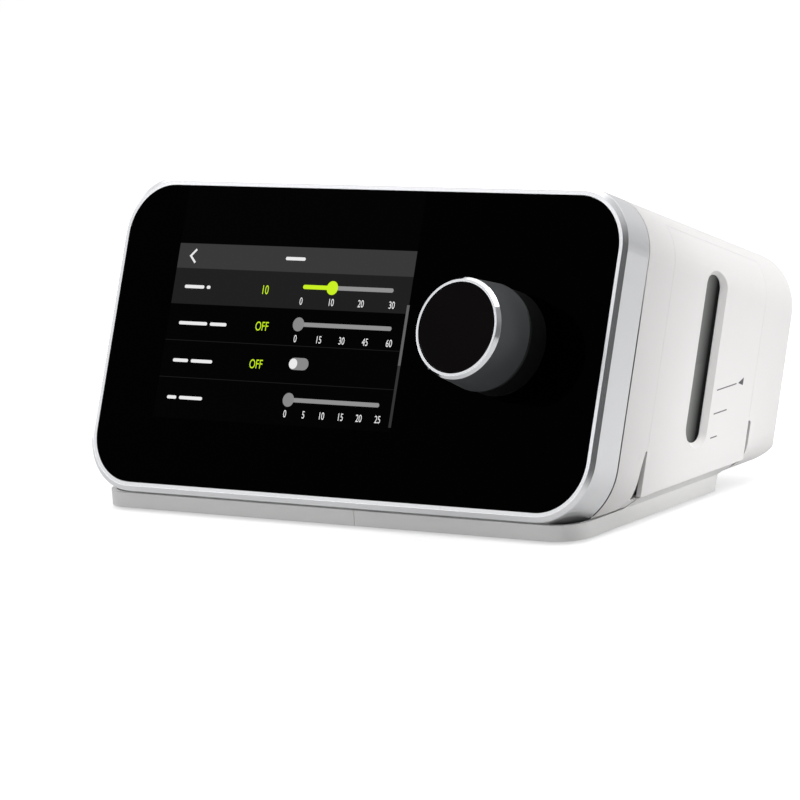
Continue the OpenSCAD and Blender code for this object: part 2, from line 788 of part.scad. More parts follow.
module base_screws() {
    color("silver") for (q = base_spots)
        level() translate([q[0], q[1], 0]) {
            rod_z(screw_r, foot_h + 2.6, base_top + 6.5);
            difference() {
                rod_z(3, foot_h + 0.9, foot_h + 2.6);
                translate([0, 0, foot_h]) cylinder(r = 1.4, h = 1.8, $fn = 6);
            }
        }
}

module rubber_feet() {
    color("#3c3d3f") for (q = foot_spots)
        level() translate([q[0], q[1], 0]) {
            rod_z(foot_r, 0.4, foot_h + 0.8);
            cylinder(r1 = foot_r - 0.4, r2 = foot_r, h = 0.4);
        }
}

// Rear panel: a plate in the rear opening, with the filter pocket and the three outlets
module rear_panel() {
    fw = filter_w / 2 + 0.5;
    fh = filter_h / 2 + 0.5;
    pocket_p = body_d - 19;
    color("#dddcda") face() difference() {
        union() {
            along_p(body_d - wall - 0.4, body_d - 0.5) rear_outline(-0.2);
            along_p(body_d - wall - 0.4, body_d - 1.6) rear_outline(2.8);
            translate([filter_x, 0, filter_v])
                block(-fw - 1.6, fw + 1.6, pocket_p, body_d - wall - 0.3, -fh - 1.6, fh + 1.6);
        }
        translate([filter_x, 0, filter_v]) {
            block(-fw, fw, pocket_p + 1.6, body_d + 1, -fh, fh);
            rod_p(10.2, pocket_p - 1, pocket_p + 2);
            block(-fw - 2.5, fw + 2.5, body_d - 2, body_d + 1, -fh - 2.5, fh + 2.5);
        }
        translate([out_x, 0, hose_v]) rod_p(hose_r + 1.2, body_d - 10, body_d + 1);
        translate([power_x, 0, power_v]) block(-8.2, 8.2, body_d - 10, body_d + 1, -7.2, 7.2);
        for (q = rear_spots) translate([q[0], 0, q[1]]) {
            rod_p(screw_r + run_gap, body_d - 10, body_d + 1);
            rod_p(3.2, body_d - 1.4, body_d + 1);
        }
        for (k = [0:5]) block(rear_x0 + 78 + 7 * k, rear_x0 + 81 + 7 * k, body_d - 10, body_d + 1, rear_v0 + 6, rear_v0 + 18);
    }
}
sensor_t = board_t;
rear_spots = [[rear_x0 + 4.5, rear_v0 + 5], [rear_x1 - 4.5, rear_v1 - 5], [rear_x0 + 4.5, rear_v1 - 5], [-30, rear_v0 + 5]];

module rear_screws() {
    color("silver") face() for (q = rear_spots)
        translate([q[0], 0, q[1]]) {
            rod_p(screw_r, body_d - 8, body_d - 1.4);
            difference() {
                rod_p(3, body_d - 1.4, body_d - 0.4);
                translate([0, body_d - 1, 0]) rotate([-90, 0, 0]) cylinder(r = 1.2, h = 1, $fn = 6);
            }
        }
}

module power_inlet() {
    color("#1a1a1c") face() translate([power_x, 0, power_v]) difference() {
        union() {
            block(-8, 8, body_d - 15, body_d - 0.3, -7, 7);
            block(-9.5, 9.5, body_d - 5, body_d - wall - 0.4, -8.5, 8.5);
        }
        rod_p(power_r, body_d - 11, body_d);
    }
    color("#c9b070") face() translate([power_x, 0, power_v])
        for (a = [0:2]) rotate([0, 120 * a, 0]) translate([0, 0, 2.9]) rod_p(0.7, body_d - 11.5, body_d - 7);
}

module card_socket() {
    color("#9a9da1") face() difference() {
        block(-hw + wall, -hw + 31, card_p - 2.6, card_p + 2.6, card_v - 14.5, card_v + 14.5);
        block(-hw, -hw + 29.5, card_p - 1.2, card_p + 1.2, card_v - 12.3, card_v + 12.3);
    }
}

module memory_card() {
    color("#27374f") face() difference() {
        block(-hw + 0.5, -hw + 28.5, card_p - 1.05, card_p + 1.05, card_v - 12, card_v + 12);
        block(-hw, -hw + 1.5, card_p - 1.5, card_p - 0.4, card_v - 8, card_v + 8);
    }
}

module filter_cover() {
    fw = filter_w / 2 + 2.8;
    fh = filter_h / 2 + 2.8;
    color("#e9e8e6") face() translate([filter_x, 0, filter_v]) difference() {
        union() {
            along_p(body_d - 1.8, body_d - 0.2) rounded_rect(2 * fw, 2 * fh, 3);
            block(2.2 - fw + 0.8, fw - 3, body_d - 4, body_d - 1.8, 3 - fh, fh - 3);
        }
        block(5 - fw, fw - 5, body_d - 5, body_d - 1.8, 5 - fh, fh - 5);
        for (k = [-4:4]) block(-fw + 8, fw - 8, body_d - 3, body_d + 1, 3.6 * k - 0.9, 3.6 * k + 0.9);
    }
}

module air_filter() {
    color("#f4f4f2") face() translate([filter_x, 0, filter_v])
        block(0.3 - filter_w / 2, filter_w / 2 - 0.3, body_d - 15, body_d - 4, 0.3 - filter_h / 2, filter_h / 2 - 0.3);
}

module inlet_duct() {
    color("#4a4b4e") difference() {
        face() translate([filter_x, 0, filter_v]) tube_p(12, 10, body_d - 45, body_d - 19);
        level() block(-200, 0, 0, case_y1 - case_t, 0, 150);
    }
}

// Sound box round the blower: a deep lower case and a shallow lid
module case_block(z0, z1, t) {
    block(case_x0 + t, case_x1 - t, case_y0 + t, case_y1 - t, z0, z1);
}
lid_spots = [for (x = [case_x0 + 5, case_x1 - 5]) for (y = [case_y0 + 5, case_y1 - 5]) [x, y]];
screw_hole = screw_r + 0.05;

module blower_case() {
    color("#b9bcc0") difference() {
        union() {
            level() difference() {
                case_block(case_z0, lid_z, 0);
                case_block(case_z0 + case_t, lid_z + 1, case_t);
            }
            level() for (q = lid_spots) translate([q[0], q[1], 0]) rod_z(4, case_z0, lid_z);
            level() for (m = mount_spots)
                translate([blower_x + mount_off * m[0], blower_y + mount_off * m[1], 0])
                    rod_z(4, case_z0 + 1, scroll_z - mount_h);
        }
        level() for (q = lid_spots) translate([q[0], q[1], 0]) rod_z(screw_hole, lid_z - 9, lid_z + 1);
        level() translate([0, duct_y, duct_z]) rod_x(port_r + 2.3, case_x1 - 10, case_x1 + 1);
        inlet_hole();
    }
}

// Hole in the rear wall of the sound box for the duct from the filter
module inlet_hole() {
    intersection() {
        face() translate([filter_x, 0, filter_v]) rod_p(12.3, body_d - 60, body_d);
        level() block(-200, 0, case_y1 - case_t - 0.1, case_y1 + 1, 0, 150);
    }
}

module blower_lid() {
    color("#c4c7cb") difference() {
        level() case_block(lid_z, case_z1, 0);
        level() difference() {
            case_block(lid_z - 1, case_z1 - case_t, case_t);
            for (q = lid_spots) translate([q[0], q[1], 0]) rod_z(4, lid_z - 1, case_z1);
        }
        level() for (q = lid_spots) translate([q[0], q[1], 0]) {
            rod_z(screw_hole, lid_z - 1, case_z1 + 1);
            rod_z(3.2, lid_z + 3, case_z1 + 1);
        }
        level() translate([0, duct_y, duct_z]) rod_x(port_r + 2.3, case_x1 - 10, case_x1 + 1);
        inlet_hole();
    }
}

module lid_screws() {
    color("silver") level() for (q = lid_spots)
        translate([q[0], q[1], 0]) {
            rod_z(screw_r, lid_z - 8, lid_z + 3);
            difference() {
                rod_z(3, lid_z + 3, lid_z + 4.6);
                translate([0, 0, lid_z + 3.6]) cylinder(r = 1.2, h = 2, $fn = 6);
            }
        }
}

module muffler_foam() {
    side_x = blower_x - mount_off - 6.7;
    floor_w = mount_off - 4.3;
    color("#6d6f73") level() {
        // one pad on the wall and one on the floor, clear of the posts under the mounts
        difference() {
            block(case_x0 + 2.2, side_x, case_y0 + 12, case_y1 - 12, case_z0 + 2.2, scroll_z - 4);
            block(side_x - 6, side_x + 1, case_y0 + 24, case_y1 - 24, case_z0 + 12, scroll_z - 14);
        }
        block(blower_x - floor_w, blower_x + floor_w, case_y0 + 8, case_y1 - 8, case_z0 + 2.2, case_z0 + 10);
    }
}

// Blower: scroll halves, impeller and a motor hung below, on four rubber mounts
scroll_z = duct_z - scroll_h / 2;
motor_z = scroll_z - motor_h;
module scroll_plan(extra) {
    translate([blower_x, blower_y]) circle(scroll_r + extra);
    translate([blower_x, duct_y - 10 - extra]) square([case_x1 - 6 - blower_x, 20 + 2 * extra]);
}

module scroll_half(z0, z1) {
    difference() {
        union() {
            along_z(z0, z1) scroll_plan(0);
            if (z0 < duct_z)
                for (k = [0:3])
                    translate([blower_x, blower_y, z0]) rotate([0, 0, 45 + 90 * k]) {
                        translate([scroll_r - 1.5, -4, 0]) cube([mount_r - scroll_r + 1.5, 8, 2.4]);
                        translate([mount_r, 0, 0]) cylinder(r = 5, h = 2.4);
                    }
        }
        along_z(scroll_z + scroll_t, scroll_z + scroll_h - scroll_t) scroll_inner();
        translate([0, duct_y, duct_z]) rod_x(port_r, blower_x, case_x1);
    }
}
module scroll_inner() {
    translate([blower_x, blower_y]) circle(scroll_r - scroll_t);
    translate([blower_x, duct_y - 8]) square([case_x1 - 9 - blower_x, 16]);
}

module scroll_lower() {
    color("#2f3236") level() difference() {
        scroll_half(scroll_z, duct_z);
        translate([blower_x, blower_y, 0]) rod_z(4.2, scroll_z - 1, duct_z);
        for (m = mount_spots)
            translate([blower_x + mount_off * m[0], blower_y + mount_off * m[1], 0]) rod_z(1.75, scroll_z - 1, scroll_z + 1.3);
    }
}

module scroll_upper() {
    color("#3a3d42") level() difference() {
        scroll_half(duct_z, scroll_z + scroll_h);
        translate([blower_x, blower_y, 0]) rod_z(impeller_r * 0.45, duct_z, scroll_z + scroll_h + 1);
    }
}

module impeller() {
    z0 = scroll_z + scroll_t + 1.5;
    color("#e8e6df") level() translate([blower_x, blower_y, 0]) {
        difference() {
            union() {
                rod_z(impeller_r, z0, z0 + 1.4);
                cylinder_cone(z0);
            }
            rod_z(2, z0 - 1, z0 + 20);
        }
        for (k = [0:10])
            rotate([0, 0, k * 360 / 11]) translate([7.5, 0, z0 + 1])
                rotate([0, 0, -35]) translate([0, -0.5, 0]) cube([impeller_r - 7.5, 1, 9]);
    }
}
module cylinder_cone(z0) { translate([0, 0, z0]) cylinder(r1 = 10, r2 = 4.5, h = 11); }

module motor_shaft() {
    color("#8f9296") level() translate([blower_x, blower_y, 0]) rod_z(1.95, motor_z + 2.4, scroll_z + scroll_t + 11);
}

module motor_magnet() {
    color("#55585c") level() translate([blower_x, blower_y, 0]) tube_z(6, 1.95, motor_z + 7, motor_z + 17);
}

module motor_stator() {
    color("#b06a35") level() translate([blower_x, blower_y, 0]) {
        tube_z(motor_r - 1.8, 11.5, motor_z + 7, motor_z + 17);
        for (k = [0:5])
            rotate([0, 0, 60 * k]) translate([6.6, -2.2, motor_z + 8]) cube([5.5, 4.4, 8]);
    }
}

module motor_can() {
    color("#a9adb2") level() translate([blower_x, blower_y, 0]) difference() {
        rod_z(motor_r, motor_z, scroll_z);
        rod_z(motor_r - 1.5, motor_z + 7, motor_z + 17);
        rod_z(9, motor_z + 6, motor_z + 18);
        rod_z(4.5, motor_z + 2, scroll_z + 1);
    }
}

module motor_bearings() {
    color("#c8ccd0") level() translate([blower_x, blower_y, 0]) {
        tube_z(4.45, 1.95 + run_gap, motor_z + 2, motor_z + 5.5);
        tube_z(4.45, 1.95 + run_gap, motor_z + 18, motor_z + 21.5);
    }
}

module blower_mounts() {
    color("#7b6a55") level() for (m = mount_spots)
        translate([blower_x + mount_off * m[0], blower_y + mount_off * m[1], 0]) {
            rod_z(4, scroll_z - mount_h, scroll_z);
            rod_z(1.7, scroll_z - 1, scroll_z + 1.2);
        }
}

module blower_duct() {
    color("#8b8e93") level() translate([0, duct_y, duct_z]) difference() {
        union() {
            rod_x(port_r + 2, case_x1 - 6, bay_x);
            for (k = [0:3]) rod_x_at(port_r + 3.4, case_x1 + 8 + 6 * k, 2.4);
        }
        rod_x(port_r, case_x1 - 8, bay_x + 1);
    }
}
module rod_x_at(r, x, w) { rod_x(r, x, x + w); }

module pressure_board() {
    color("#24503c") level() {
        translate([case_x1, case_y1 - 22, case_z0 + 20]) {
            block(0, sensor_t, -14, 14, -13, 13);
            block(sensor_t, sensor_t + 4.4, -8, 0, -7, 5);
            for (z = [-4, 2]) translate([0, -4, z]) rod_x(1.6, sensor_t + 4, sensor_t + 8);
            block(sensor_t, sensor_t + 3.4, 4, 10, -9, 9);
        }
    }
}

// Liner of the tank bay, open to the right, with a window in its floor for the heater
module bay_liner() {
    in_p = p_of(duct_y, duct_z);
    in_v = v_of(duct_y, duct_z);
    color("#cfd1d3") difference() {
        face() along_x(bay_x, tank_x1 - 0.2) liner_profile(0);
        face() along_x(bay_x + liner, hw) liner_profile(liner);
        level() translate([heater_x, heater_y, 0])
            along_z(0, tank_z + 1) rounded_rect(heater_w + 2, heater_l + 2, 7);
        face() translate([0, in_p, in_v]) rod_x(port_r, 0, bay_x + 5);
        face() translate([0, out_p, hose_v]) rod_x(port_r, 0, bay_x + 5);
    }
    // rubber lips that the tank's ports meet
    color("#6f7275") face() {
        translate([0, in_p, in_v]) tube_x(port_r + 2.5, port_r, bay_x + liner, tank_x0 - 0.3);
        translate([0, out_p, hose_v]) tube_x(port_r + 2.5, port_r, bay_x + liner, tank_x0 - 0.3);
    }
}
module liner_profile(t) {
    p0 = bay_p0 + 0.4 + t;
    p1 = bay_p1 - 0.4 - t;
    z0 = t > 0 ? tank_z : liner_z;
    polygon([[p0, v_at(z0, p0)], [p0, liner_v - t], [p1, liner_v - t], [p1, v_at(z0, p1)]]);
}

// Duct from the bay's rear port, turning to the hose port
module outlet_duct() {
    color("#8b8e93") face() translate([0, out_p, hose_v]) {
        tube_x(port_r + 2, port_r, bay_x - 2, bay_x);
        translate([bay_x - 2, elbow_r, 0]) rotate([0, 0, 180]) rotate_extrude(angle = 90)
            translate([elbow_r, 0]) difference() {
                circle(port_r + 2);
                circle(port_r);
            }
        translate([out_x, 0, 0]) tube_p(port_r + 2, port_r, elbow_r, body_d - wall - 4 - out_p);
    }
}

// Hose port: flange behind the rear panel and a taper end for a 22 mm hose
module hose_port() {
    color("#bfc2c6") face() translate([out_x, 0, hose_v]) difference() {
        union() {
            rod_p(hose_r + 4, body_d - wall - 4, body_d - wall - 0.4);
            rod_p(hose_r + 1, body_d - wall - 1, body_d);
            rod_p(hose_r, body_d - 1, body_d + hose_len);
        }
        rod_p(hose_r - 1.8, body_d - wall - 10, body_d + hose_len + 1);
    }
}

module heater_plate() {
    color("#b4b8bc") level() translate([heater_x, heater_y, 0])
        along_z(element_z, heater_top) rounded_rect(heater_w, heater_l, 6);
}

module heater_element() {
    color("#8a5a3c") level() translate([heater_x, heater_y, 0])
        along_z(element_z - element_t, element_z) rounded_rect(heater_w + 8, heater_l + 8, 8);
}

module heater_springs() {
    color("#9b9ea3") level() for (q = spring_spots)
        translate([q[0], q[1], 0]) tube_z(3.2, 2.4, foot_h + floor_t, element_z - element_t);
}

// Tank: clear tub with a level rim, lid above it, seal between, metal plate below
module tank_profile(t, z0, z1) {
    polygon([
        [tank_p0 + t, v_at(z0, tank_p0 + t)], [tank_p0 + t, v_at(z1, tank_p0 + t)],
        [tank_p1 - t, v_at(z1, tank_p1 - t)], [tank_p1 - t, v_at(z0, tank_p1 - t)]
    ]);
}

module tank_tub() {
    color("#9fb0ae") difference() {
        face() along_x(tank_x0, tank_x1) tank_profile(0, tank_z, rim_z);
        face() along_x(tank_x0 + tank_wall, tank_x1 - tank_wall) tank_profile(tank_wall, tank_z + 2.4, rim_z + 5);
        level() translate([heater_x, heater_y, 0])
            along_z(tank_z - 1, tank_z + 1.2) rounded_rect(heater_w + 6.2, heater_l + 6.2, 8.1);
        level() translate([heater_x, heater_y, 0])
            along_z(tank_z, tank_z + 4) rounded_rect(heater_w - 4, heater_l - 4, 5);
    }
}

module tank_lid() {
    in_p = p_of(duct_y, duct_z);
    in_v = v_of(duct_y, duct_z);
    color("#6f7d7b") face() difference() {
        along_x(tank_x0, tank_x1) lid_profile(0);
        along_x(tank_x0 + tank_wall, tank_x1 - tank_wall) lid_profile(tank_wall);
        translate([0, in_p, in_v]) rod_x(port_r, tank_x0 - 1, tank_x0 + tank_wall + 1);
        translate([0, out_p, hose_v]) rod_x(port_r, tank_x0 - 1, tank_x0 + tank_wall + 1);
    }
}
module lid_profile(t) {
    z0 = rim_z + 1 - (t > 0 ? 3 : 0);
    polygon([
        [tank_p0 + t, v_at(z0, tank_p0 + t)], [tank_p0 + t, tank_v - t],
        [tank_p1 - t, tank_v - t], [tank_p1 - t, v_at(z0, tank_p1 - t)]
    ]);
}

module tank_seal() {
    color("#c96f4a") face() difference() {
        along_x(tank_x0 + 0.3, tank_x1 - 0.3) tank_profile(0.3, rim_z + 0.02, rim_z + 0.98);
        along_x(tank_x0 + 1.8, tank_x1 - 1.8) tank_profile(1.8, rim_z - 1, rim_z + 2);
    }
}

module tank_plate() {
    color("#c3c7cb") level() translate([heater_x, heater_y, 0])
        along_z(tank_z, tank_z + 1.2) rounded_rect(heater_w + 6, heater_l + 6, 8);
}

// White side cover of the tank, with the window slot
module tank_cover() {
    half_r = slot_w / 2 - slot_bevel + 2.5;
    v_edge = 10;
    color("#f3f2f0") difference() {
        union() {
            difference() {
                intersection() {
                    face() difference() {
                        body_block(0);
                        body_block(wall);
                    }
                    face() along_x(0, hw + 1) polygon([
                        [bay_p0 + cover_gap, v_edge], [bay_p0 + cover_gap, cover_v],
                        [bay_p1 - cover_gap, cover_v], [bay_p1 - cover_gap, v_edge]
                    ]);
                }
                face() block(-300, 60, 0, 300, -300, 300);
            }
            difference() {
                face() along_x(hw - wall, hw) polygon([
                    [bay_p0 + cover_gap, v_at(tank_z + 0.2, bay_p0)], [bay_p0 + cover_gap, v_edge + eps],
                    [bay_p1 - cover_gap, v_edge + eps], [bay_p1 - cover_gap, v_at(tank_z + 0.2, bay_p1)]
                ]);
                below(tank_z + 0.2);
            }
            face() along_x(tank_x1, hw - wall + eps) translate([slot_p, slot_v]) rounded_slot(half_r, slot_len / 2 - slot_w / 2);
            face() for (p = [tank_p0 + 4, tank_p1 - 8])
                block(tank_x1, hw - wall + eps, p, p + 4, -12, tank_v - 8);
        }
        face() slot_flare(hw - slot_d, hw + eps, slot_w / 2 - slot_bevel, slot_w / 2);
        face() along_x(tank_x1 - 1, hw - slot_d + 0.1) translate([slot_p, slot_v])
            rounded_slot(slot_w / 2 - slot_bevel, slot_len / 2 - slot_w / 2);
    }
}
module rounded_slot(r, half) {
    square([2 * r, 2 * half], center = true);
    for (e = [-1, 1]) translate([0, e * half]) circle(r);
}

module tank_window() {
    color("#2c3230", 0.6) face() along_x(tank_x1, hw - slot_d - 0.2) translate([slot_p, slot_v])
        rounded_slot(slot_w / 2 - slot_bevel - 0.1, slot_len / 2 - slot_w / 2);
}

// Sprung tab on the upper right edge, pressed inward to free the tank; its leg carries the spring finger
module release_tab() {
    leg_x = hw - 21;
    color("#f3f2f0") face() {
        intersection() {
            difference() {
                body_block(0);
                body_block(wall);
            }
            tab_region(0, 0, -0.05);
        }
        intersection() {
            block(leg_x, leg_x + 2.5, tab_p0 + 6, tab_p1 - 6, liner_v, hh);
            body_block(wall / 2);
        }
    }
}

front_glass();
front_frame();
lcd_panel();
display_bracket();
bracket_screws();
display_cable();
main_board();
board_components();
board_screws();
speaker();
knob_collar();
knob_grip();
knob_ring();
knob_cap();
encoder_shaft();
encoder_rotor();
encoder_body();
encoder_nut();
switch_dome();
housing();
rear_panel();
rear_screws();
main_base();
humidifier_base();
base_screws();
rubber_feet();
power_inlet();
card_socket();
memory_card();
filter_cover();
air_filter();
inlet_duct();
blower_case();
blower_lid();
lid_screws();
muffler_foam();
scroll_lower();
scroll_upper();
impeller();
motor_shaft();
motor_magnet();
motor_stator();
motor_can();
motor_bearings();
blower_mounts();
blower_duct();
pressure_board();
bay_liner();
outlet_duct();
hose_port();
heater_plate();
heater_element();
heater_springs();
tank_tub();
tank_lid();
tank_seal();
tank_plate();
tank_cover();
tank_window();
release_tab();
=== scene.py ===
import math

import bmesh
import bpy
from mathutils import Matrix, Vector


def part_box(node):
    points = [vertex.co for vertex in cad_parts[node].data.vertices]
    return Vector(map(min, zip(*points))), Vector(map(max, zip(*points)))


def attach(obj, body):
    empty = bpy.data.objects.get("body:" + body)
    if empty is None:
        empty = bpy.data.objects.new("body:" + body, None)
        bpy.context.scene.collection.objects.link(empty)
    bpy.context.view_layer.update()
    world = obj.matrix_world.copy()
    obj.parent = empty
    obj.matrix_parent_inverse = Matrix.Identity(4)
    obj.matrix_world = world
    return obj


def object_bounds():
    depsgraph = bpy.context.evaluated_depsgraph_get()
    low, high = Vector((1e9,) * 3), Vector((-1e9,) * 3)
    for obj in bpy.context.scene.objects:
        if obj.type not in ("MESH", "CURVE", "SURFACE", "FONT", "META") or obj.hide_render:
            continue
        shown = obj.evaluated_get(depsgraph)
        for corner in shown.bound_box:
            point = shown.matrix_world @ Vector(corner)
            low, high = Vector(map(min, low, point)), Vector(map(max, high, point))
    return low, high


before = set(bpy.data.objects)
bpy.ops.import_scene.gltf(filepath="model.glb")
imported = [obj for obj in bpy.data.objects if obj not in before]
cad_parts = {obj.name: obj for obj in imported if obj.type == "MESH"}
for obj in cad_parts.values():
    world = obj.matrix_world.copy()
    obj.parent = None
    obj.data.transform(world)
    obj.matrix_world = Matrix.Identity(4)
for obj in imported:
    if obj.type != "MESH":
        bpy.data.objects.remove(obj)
cad_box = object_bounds()

# White housing, tank cover and release tab.
# Injection-moulded plastic with a fine satin grain; the cover and the tab lie flush in it.
# The lines beside the slot are printed on the cover at three water levels.
MM = 0.001


class Wire:
    """A number, vector or colour on its way through the nodes; with no socket, only a start."""

    def __init__(self, tree, socket):
        self.tree = tree
        self.socket = socket

    def make(self, kind, settings=None, values=None, output=0):
        """Adds a node, with its settings first and then its sockets' values or links."""
        made = self.tree.nodes.new(kind)
        for key, value in (settings or {}).items():
            setattr(made, key, value)
        for key, value in (values or {}).items():
            if isinstance(value, Wire):
                self.tree.links.new(value.socket, made.inputs[key])
            elif isinstance(value, (tuple, list, Vector)) and made.inputs[key].type == "RGBA":
                made.inputs[key].default_value = (*tuple(value)[:3], 1.0)
            else:
                made.inputs[key].default_value = value
        return Wire(self.tree, made.outputs[output])

    def math(self, operation, *others, clamp=False):
        values = dict(enumerate([self, *others]))
        return self.make("ShaderNodeMath", {"operation": operation, "use_clamp": clamp}, values)

    def __add__(self, other):
        return self.math("ADD", other)

    def __sub__(self, other):
        return self.math("SUBTRACT", other)

    def __rsub__(self, other):
        values = {0: other, 1: self}
        return self.make("ShaderNodeMath", {"operation": "SUBTRACT"}, values)

    def __mul__(self, other):
        return self.math("MULTIPLY", other)

    def __truediv__(self, other):
        return self.math("DIVIDE", other)

    def __rtruediv__(self, other):
        values = {0: other, 1: self}
        return self.make("ShaderNodeMath", {"operation": "DIVIDE"}, values)

    __radd__ = __add__
    __rmul__ = __mul__

    def size(self):
        return self.math("ABSOLUTE")

    def above(self, edge, soft):
        """0 below an edge and 1 above it, over a soft width."""
        return ((self - edge) / soft + 0.5).math("ADD", 0.0, clamp=True)

    def between(self, low, high, soft):
        return self.above(low, soft) * (1 - self.above(high, soft))

    def along(self, direction):
        """How far this point lies along a direction."""
        values = {0: self, 1: tuple(direction)}
        return self.make("ShaderNodeVectorMath", {"operation": "DOT_PRODUCT"}, values, "Value")

    def shade(self, dark, light):
        """A colour mixed from two by this number."""
        settings = {"data_type": "RGBA"}
        return self.make("ShaderNodeMix", settings, {0: self, 6: dark, 7: light}, 2)

    def beyond(self, centre):
        """This point, measured from a centre."""
        settings = {"operation": "SUBTRACT"}
        return self.make("ShaderNodeVectorMath", settings, {0: self, 1: tuple(centre)})

    def cells(self, scale, output="Distance"):
        """Small cells, as flakes, pores or dots."""
        values = {"Vector": self, "Scale": scale}
        return self.make("ShaderNodeTexVoronoi", {"feature": "F1"}, values, output)

    def noise(self, scale, detail=3.0, roughness=0.5):
        values = {"Vector": self, "Scale": scale, "Detail": detail, "Roughness": roughness}
        return self.make("ShaderNodeTexNoise", {}, values, "Fac")

    def bump(self, strength, distance, normal=None):
        values = {"Height": self, "Strength": strength, "Distance": distance}
        if normal:
            values["Normal"] = normal
        return self.make("ShaderNodeBump", {}, values)


def blank(name, **constants):
    """A material with its constants set; returns it, its shader and the point on the object."""
    material = bpy.data.materials.new(name)
    material.use_nodes = True
    tree = material.node_tree
    shader = tree.nodes["Principled BSDF"]
    for key, value in constants.items():
        socket = shader.inputs[key.replace("_", " ")]
        socket.default_value = (*value, 1.0) if socket.type == "RGBA" else value
    point = Wire(tree, None).make("ShaderNodeTexCoord", output="Object")
    return material, shader, point


def feed(shader, name, wire):
    wire.tree.links.new(wire.socket, shader.inputs[name])


def soft_edge(point, radius):
    """Normals that round a moulding's edges over a radius."""
    return point.make("ShaderNodeBevel", {"samples": 6}, {"Radius": radius})


def dress(material, *nodes):
    for node in nodes:
        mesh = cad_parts[node].data
        mesh.materials.clear()
        mesh.materials.append(material)


def moulded(name, colour, roughness, grain=0.5, edge=0.35 * MM, lighter=1.02, **constants):
    """Moulded plastic, returned as blank does: faint clouding, fine grain and rounded edges."""
    material, shader, point = blank(name, **constants)
    cloud = point.noise(22.0, 3.0)
    fine = point.noise(2600.0, 2.0, 0.6)
    dark = tuple(c * (2 - lighter) for c in colour)
    light = tuple(min(c * lighter, 1.0) for c in colour)
    feed(shader, "Base Color", cloud.shade(dark, light))
    feed(shader, "Roughness", cloud * 0.06 + fine * 0.05 + (roughness - 0.055))
    feed(shader, "Normal", fine.bump(0.1 * grain, 0.02 * MM, soft_edge(point, edge)))
    return material, shader, point


# The face frame: x across, v up the leaning front, n out of it; its origin is the glass's centre.
lean = math.radians(22)
up = Vector((0, math.sin(lean), math.cos(lean)))
out = Vector((0, -math.cos(lean), math.sin(lean)))
glass_low, glass_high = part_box("front_glass")
glass_t = 2 * MM
glass_centre = (glass_low + glass_high) / 2 + out * glass_t / 2


def on_face(x, v, n=0.0):
    """A point given in millimetres across, up and out of the front glass."""
    return glass_centre + Vector((x * MM, 0, 0)) + up * (v * MM) + out * (n * MM)


def behind_glass(point):
    """How deep this point lies behind the glass's front."""
    return point.beyond(glass_centre).along(-out)


white = (0.828, 0.814, 0.805)
# Painted shade: the white greys toward the frame, and the groove between frame and housing is painted dark,
# fading out higher up.
frame_shade_grey = (0.745, 0.73, 0.722)
groove_shade_grey = (0.10, 0.10, 0.10)
frame_shade_depth, frame_shade_fade = 38.0 * MM, 40.0 * MM
groove_shade_top, groove_shade_fade = 95.0 * MM, 24.0 * MM
groove_shade_end = 18.0 * MM


def white_moulding(name, shade_end=0.0):
    """Satin white plastic with painted shade: greyer toward the frame, and dark in the groove down to a
    depth.
    """
    material, shader, point = moulded(name, white, 0.36, grain=0.6, edge=0.04 * MM)
    depth = behind_glass(point)
    cloud = point.noise(22.0, 3.0)
    # Painted shade, greyer toward the frame, with a little random clouding.
    plain = (depth.above(frame_shade_depth, frame_shade_fade) + cloud * 0.1 - 0.05).shade(frame_shade_grey, white)
    # Painted shade in the groove down to a depth, fading out higher up.
    groove_shade_low = 1 - point.along((0, 0, 1)).above(groove_shade_top, groove_shade_fade)
    groove_shade = (1 - depth.above(shade_end, 0.2 * MM)) * groove_shade_low
    body = groove_shade.shade(plain, groove_shade_grey)
    feed(shader, "Base Color", body)
    return material, shader, point, depth, body


housing_white = white_moulding("satin_white_moulding", groove_shade_end)[0]
dress(housing_white, "housing", "release_tab")

# The cover uses the same white with its painted shade toward the frame; its groove shade is set to end at the
# glass's front.
cover_white, shader, point, depth, plain = white_moulding("printed_white_cover")
print_grey = (0.09, 0.09, 0.095)
height = point.along((0, 0, 1))
across = point.along((1, 0, 0))
cover_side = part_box("tank_cover")[1].x
line_t = 0.5 * MM
print_edge = 0.15 * MM
# Each level line's height on the face, and the depths where it starts and ends
level_lines = ((4.3, 82.2, 96.4), (-7.1, 82.3, 91.7), (-18.6, 82.4, 87.1))
printed = None
for v, start, end in level_lines:
    line_z = on_face(0, v, -(start + end) / 2).z
    line = height.between(line_z - line_t / 2, line_z + line_t / 2, print_edge)
    line = line * depth.between(start * MM, end * MM, print_edge)
    printed = line if printed is None else printed.math("MAXIMUM", line)
# Pointer beside the top line
top_v, top_start, top_end = level_lines[0]
top_z = on_face(0, top_v, -(top_start + top_end) / 2).z
pointer_start, pointer_end = 97.6 * MM, 101.4 * MM
pointer_slope = 0.42
slant = (depth - pointer_start) * pointer_slope - (height - top_z).size()
pointer = slant.above(0.0, print_edge) * (1 - depth.above(pointer_end, print_edge))
printed = printed.math("MAXIMUM", pointer) * across.above(cover_side - 0.2 * MM, 0.1 * MM)
feed(shader, "Base Color", printed.shade(plain, print_grey))
dress(cover_white, "tank_cover")

# Front frame.
# A moulded ring painted with fine metallic silver; the glass is bonded into it.
silver, shader, point = blank("silver_paint", Metallic=0.93)
flake = point.cells(3200.0, "Color").along((0.33, 0.33, 0.33))
drift = point.noise(30.0)
silver_dark, silver_light = (0.78, 0.785, 0.795), (0.88, 0.885, 0.895)
feed(shader, "Base Color", (flake * 0.5 + drift * 0.5).shade(silver_dark, silver_light))
feed(shader, "Roughness", flake * 0.06 + 0.2)
feed(shader, "Normal", flake.bump(0.05, 0.01 * MM, soft_edge(point, 0.15 * MM)))
dress(silver, "front_frame")

